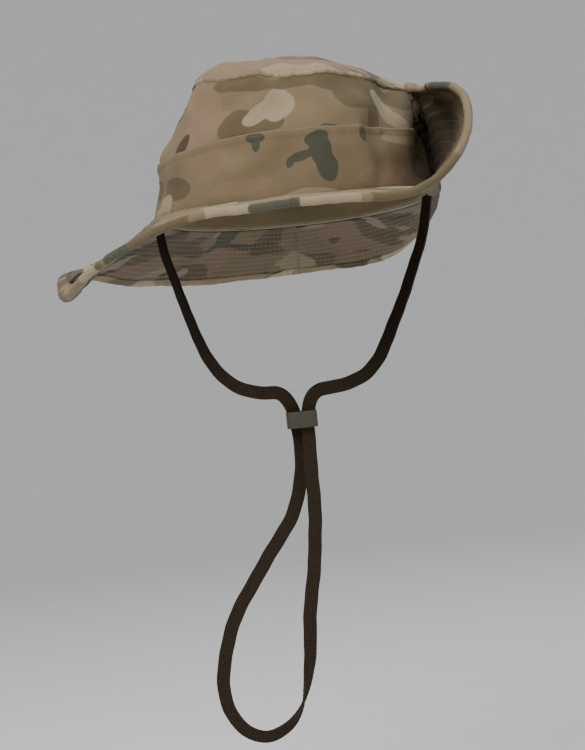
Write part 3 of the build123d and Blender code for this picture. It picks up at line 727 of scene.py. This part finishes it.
def brim_at(turn, out):
    """Points of the brim's middle layer: turn in radians from the front, out in metres from the crown."""
    out = out * 1000
    side, ahead = np.sin(turn), np.cos(turn)
    half_width, half_length = CROWN_OVAL
    root = np.stack([half_width * side, -half_length * ahead], 1)
    outward = unit(np.stack([side / half_width, -ahead / half_length], 1))
    slopes = np.radians(through(np.degrees(turn) % 360, DROOP))
    start, bend = slopes[:, 0], (slopes[:, 1] - slopes[:, 0]) / (BRIM_WIDTH * 1000)
    bend = np.where(abs(bend) < 1e-5, 1e-5, bend)
    angle = start + bend * out
    plan = root + outward * ((np.sin(angle) - np.sin(start)) / bend)[:, None]
    drop = (np.cos(start) - np.cos(angle)) / bend
    x, y = plan.T
    drop = drop - FRONT_DIP * np.clip(ahead, 0, 1) ** 2
    far = np.minimum(np.abs(y), 184.9)
    keys = np.where(y[:, None] < 0, through(far, FRONT_ROLL), through(far, BACK_ROLL))
    x0, first, last, late = keys.T
    first, last = np.radians(first), np.radians(last)
    travel = x - x0
    half_width, half_length = EDGE_OVAL
    room = np.maximum(half_width * np.sqrt(np.clip(1 - (y / half_length) ** 2, 0, None)) - x0, 0)
    roll = np.minimum(SHORT_ROLL, np.maximum(room * 0.3, 0.5))
    curl = first / roll
    curl = np.where(abs(curl) < 1e-4, 1e-4, curl)
    a = np.clip(travel, 0, roll)
    across, rise, lean = np.sin(curl * a) / curl, (1 - np.cos(curl * a)) / curl, curl * a
    rest = np.maximum(room - roll, 1.0)
    b = np.clip(travel - roll, 0, None)
    share = np.clip(b / rest, 0, 1.2)
    part = np.linspace(0, 1, 25)[None, :] * share[:, None]
    slope = first[:, None] + (last - first)[:, None] * part ** late[:, None]
    weight = np.ones(25)
    weight[1:-1:2], weight[2:-1:2] = 4, 2
    weight /= weight.sum()
    across = across + (np.cos(slope) * weight).sum(1) * b
    rise = rise + (np.sin(slope) * weight).sum(1) * b
    lean = np.where(b > 0, first + (last - first) * share ** late, lean)
    drop = drop * np.exp(-np.clip(travel, 0, None) ** 2 / LEVEL_OFF)
    rolled = travel > 0
    return np.stack([np.where(rolled, x0 + across - drop * np.sin(lean), x), y,
                     np.where(rolled, rise + drop * np.cos(lean), drop)], 1) / 1000


def brim_lift(turn, out, lift):
    """Points this far off the brim's middle layer."""
    step = 0.0008
    round_way = brim_at(turn + step * 10, out) - brim_at(turn - step * 10, out)
    out_way = brim_at(turn, out + step) - brim_at(turn, out - step)
    return brim_at(turn, out) + unit(np.cross(out_way, round_way)) * np.asarray(lift)[:, None]


def lay_on_brim(flat):
    """Flat cloth is a ring round the hat's axis, with its height through the brim."""
    turn = np.arctan2(flat[:, 0], -flat[:, 1])
    out = np.hypot(flat[:, 0], flat[:, 1]) - BRIM_RADIUS
    buckle = (0.5 * np.sin(turn * 9 + 1) * np.sin(out * 70) + 0.35 * np.sin(turn * 17 + out * 90)
              + 0.2 * np.sin(turn * 31 - out * 140)) * 0.0009 * np.clip(out / 0.03, 0, 1)
    return brim_lift(turn, out, flat[:, 2] + buckle)


RINGS = [0.0055 + 0.0062 * i for i in range(10)]    # distances of the stitched rings from the crown


def quilted(flat_bm, face):
    """The cloth is drawn in at each stitched ring and puffs up between them."""
    for vert in flat_bm.verts:
        out = vert.co.xy.length - BRIM_RADIUS
        if vert.co.z * face > 0.0011:
            near = min(abs(out - ring) for ring in RINGS)
            turn = np.arctan2(vert.co.x, -vert.co.y)
            vert.co.z -= face * (0.00042 * np.exp(-(near / 0.0009) ** 2) * (1 + 0.25 * sin(turn * 190))
                                 - 0.00012 * min(near / 0.003, 1))


# side, start of its half of the brim, the body it rides, where the cloth starts and ends its bend
HALVES = (("left", 0.0, "left_wing", (0.082, 0, 0), (0.090, 0, 0.008)),
          ("right", pi, "right_wing", (-0.080, 0, 0), (-0.100, 0, 0)))


def on_brim(name, bm, material):
    """A layer of half the brim: its flat cloth is marked, laid on the shaped brim and given its material."""
    mark_cloth(bm)
    lay_down(bm, lay_on_brim)
    bmesh.ops.recalc_face_normals(bm, faces=bm.faces)
    piece = show(name, bm)
    piece.data.materials.append(material)
    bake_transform(piece)
    return piece


# on the brim, spots are laid on the flat ring before it is shaped
edge_prints = [
    (SAND, [(0, -140, 230, 70, 0), (110, -110, 90, 70, 45)]),
    (OLIVE, [(60, -150, 50, 12, 20), (-70, -146, 46, 12, -24)]),
    (CREAM, [(17, -161, 30, 16, 0)]), (GREEN, [(-9, -163, 25, 16, 0)]), (CREAM, [(-31, -159, 22, 16, -10)]),
    (GREEN, [(-95, -134, 22, 14, -36)]), (CREAM, [(-120, -112, 24, 16, -46)]),
]
wing_prints = [
    (OLIVE, [(120, -30, 110, 60, 78)]), (BROWN, [(122, -22, 66, 34, 80), (112, -50, 30, 26, 60)]),
    (ROSE, [(148, -44, 60, 13, 74)]), (GREEN, [(150, -68, 30, 18, 66)]), (CREAM, [(152, -14, 26, 12, 85)]),
    (ROSE, [(-128, -30, 70, 60, -78)]), (GREEN, [(-142, -34, 26, 12, -74)]), (ROSE, [(-156, -8, 20, 16, -85)]),
    (GREEN, [(-152, 14, 24, 12, -95)]), (OLIVE, [(-104, -50, 44, 18, -60)]),
]
top_cloth = camouflage("camouflage_brim_top", edge_prints + wing_prints, flat=(0.43, 0.27))
# The brim's underside is darkened to half as painted shadow, for the shade under the brim.
under_cloth = camouflage("camouflage_brim_underside", flat=(0.93, 0.17), tone_and_painted_shade=0.5)
stiff_cloth, tree, shader = finish("stiffener_felt", 0.95)
cloth = node(tree, "ShaderNodeUVMap", uv_map="cloth").outputs["UV"]
felt = node(tree, "ShaderNodeTexNoise", {"Vector": cloth, "Scale": 700.0, "Detail": 4.0})
tone = two_tones(tree, felt.outputs["Fac"], (150, 144, 128), (186, 180, 164))
tree.links.new(tone.outputs["Color"], shader.inputs["Base Color"])
emboss(tree, shader, felt.outputs["Fac"], 0.4, 0.0003)
binding_cloth = camouflage("camouflage_binding", edge_prints + wing_prints, flat=(0.43, 0.27),
                           wander=0.004, tone_and_painted_shade=0.9)

EDGE = BRIM_RADIUS + BRIM_WIDTH
INNER, OUTER = BRIM_RADIUS - 0.0012, EDGE - 0.0012
COVER_FACE, COVER_BACK, FELT_HALF = 0.0014, 0.0009, 0.0008    # lifts off the brim's middle
# half the folded tape's section, as (short of the edge, lift): over the outer face, back along the inner
TAPE_FACE = [(0.0086, 0.00150), (0.0083, 0.00200), (0.0068, 0.00188), (0.0058, 0.00212), (0.0015, 0.00214),
             (0.0002, 0.00150)]
TAPE_SECTION = (TAPE_FACE + [(-0.0003, 0.0)] + [(short, -lift) for short, lift in TAPE_FACE[::-1]]
                + [(0.0011, -0.00146), (0.0007, 0.0), (0.0011, 0.00146)])
tape_outline = [(EDGE - short, lift) for short, lift in TAPE_SECTION]
tape_cuts = [0, 1, 1, 3, 1, 1, 1, 1, 3, 1, 1, 0, 2, 0, 0, 2]
ROW_START, ROW_SWEEP = 0.004, pi - 0.008    # the rows stop just short of the side joins
for half, start_turn, body, start, end in HALVES:
    for layer, face, material in (("top", 1, top_cloth), ("underside", -1, under_cloth)):
        outline = [(INNER, face * COVER_FACE), (OUTER, face * COVER_FACE), (OUTER, face * COVER_BACK),
                   (INNER, face * COVER_BACK)]
        bm = spun(outline, start_turn, pi, 210, [82, 0, 11, 0])
        quilted(bm, face)
        on_brim(f"brim_{layer}_cloth_{half}", bm, material)
        row = bmesh.new()
        for ring in RINGS:
            stitch_row(row, BRIM_RADIUS + ring, face * 0.00108, start_turn + ROW_START, ROW_SWEEP,
                       0.0031, 0.0024)
        on_brim(f"brim_{layer}_stitching_{half}", row, thread)
    felt_edge = OUTER - 0.0005
    felt_bm = spun([(INNER, FELT_HALF), (felt_edge, FELT_HALF), (felt_edge, -FELT_HALF), (INNER, -FELT_HALF)],
                   start_turn, pi, 120, [14, 0, 14, 0])
    on_brim(f"brim_stiffener_{half}", felt_bm, stiff_cloth)
    bound = spun(tape_outline, start_turn, pi, 230, tape_cuts)
    for vert in bound.verts:
        turn = np.arctan2(vert.co.x, -vert.co.y)
        vert.co.z += 0.00012 * sin(turn * 83) + 0.00009 * sin(turn * 131 + 1)
    on_brim(f"brim_binding_tape_{half}", bound, binding_cloth)
    row = bmesh.new()
    for face in (1, -1):
        stitch_row(row, EDGE - 0.0068, face * 0.00196, start_turn + ROW_START, ROW_SWEEP, 0.0029, 0.0022)
    on_brim(f"brim_binding_stitching_{half}", row, thread)
    shared = "front" if half == "left" else "back"
    for layer in ("top", "underside", "interlining", "binding"):
        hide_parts(f"brim_{layer}_{half}", f"brim_{layer}_{shared}")

# Snaps: two sets in dark brass. A domed cap under each wing holds a ring socket
# on its upper face, and a stud with its post sits on the crown's side.
brass, tree, shader = finish("darkened_brass", 0.38, 0.9)
place = node(tree, "ShaderNodeTexCoord").outputs["Object"]
patina = node(tree, "ShaderNodeTexNoise", {"Vector": place, "Scale": 900.0, "Detail": 5.0})
ramp = two_tones(tree, patina.outputs["Fac"], (40, 38, 36), (96, 90, 82))
tree.links.new(ramp.outputs["Color"], shader.inputs["Base Color"])
rub = node(tree, "ShaderNodeMapRange", {0: patina.outputs["Fac"], 3: 0.28, 4: 0.5})
tree.links.new(rub.outputs[0], shader.inputs["Roughness"])

# half outlines from the middle outwards, as (radius, height)
CAP_LINE = [(0, 0.0016), (0.0045, 0.00145), (0.0058, 0.0009), (0.0062, 0.0002), (0.0060, 0.0), (0, 0.0)]
SOCKET_LINE = [(0.0033, 0.0), (0.0052, 0.0), (0.0056, 0.0004), (0.0053, 0.0012), (0.0043, 0.0019),
               (0.0035, 0.0017), (0.0033, 0.0012)]
STUD_LINE = [(0, 0.0022), (0.0022, 0.0021), (0.0029, 0.0016), (0.0027, 0.0012), (0.0022, 0.0009),
             (0.0024, 0.0005), (0.0052, 0.0004), (0.0054, 0.0), (0, 0.0)]
POST_LINE = [(0, 0.0006), (0.0045, 0.0005), (0.0048, 0.0), (0, 0.0)]
SNAP_HALF_GAP, POST_DEPTH, STUD_SHARE_UP = 0.0014, 0.0018, 0.415
LEFT_SNAP_AXIS = Vector((-0.967, 0, -0.255))    # it faces the stud that it is closed on
# side, direction, mm from the crown along the brim, body
SNAPS = (("left", pi / 2, 50.5, "left_wing"), ("right", -pi / 2, 57.5, "right_wing"))


def turned(name, line, place, axis, body, *nodes):
    """A stamped ring or dome: its half outline is spun round the snap's axis."""
    bm = bmesh.new()
    corners = [bm.verts.new((r, 0, z)) for r, z in line]
    for a, b in zip(corners, corners[1:]):
        bm.edges.new((a, b))
    if line[0][0] > 0:
        bm.edges.new((corners[-1], corners[0]))
    bmesh.ops.spin(bm, geom=bm.verts[:] + bm.edges[:], cent=(0, 0, 0), axis=(0, 0, 1),
                   angle=2 * pi, steps=40, use_merge=True)
    bmesh.ops.remove_doubles(bm, verts=bm.verts, dist=1e-6)
    bmesh.ops.recalc_face_normals(bm, faces=bm.faces)
    stand = Vector(axis).normalized().to_track_quat("Z", "Y").to_matrix().to_4x4()
    bmesh.ops.transform(bm, verts=bm.verts, matrix=Matrix.Translation(place) @ stand)
    piece = show(name, bm)
    piece.data.materials.append(brass)
    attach(piece, body)
    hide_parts(*nodes)
    return piece


for half, turn, out_mm, body in SNAPS:
    turns, outs = np.array([turn]), np.array([out_mm / 1000])
    middle, top = (Vector(brim_lift(turns, outs, np.array([lift]))[0]) for lift in (0.0, 0.001))
    axis = LEFT_SNAP_AXIS if half == "left" else (top - middle).normalized()
    turned(f"snap_ring_socket_{half}", SOCKET_LINE, middle + axis * SNAP_HALF_GAP, axis, body,
           f"snap_socket_{half}")
    turned(f"snap_domed_cap_{half}", CAP_LINE, middle - axis * SNAP_HALF_GAP, -axis, body, f"snap_cap_{half}")
    seat = Vector(crown_lift(turns, np.array([STUD_SHARE_UP]), np.array([0.0004]))[0])
    outward = Vector((1 if turn > 0 else -1, 0, 0.2)).normalized()
    turned(f"snap_round_stud_{half}", STUD_LINE, seat, outward, "hat", f"snap_stud_{half}")
    turned(f"snap_flat_post_{half}", POST_LINE, seat - outward * POST_DEPTH, -outward, "hat",
           f"snap_post_{half}")
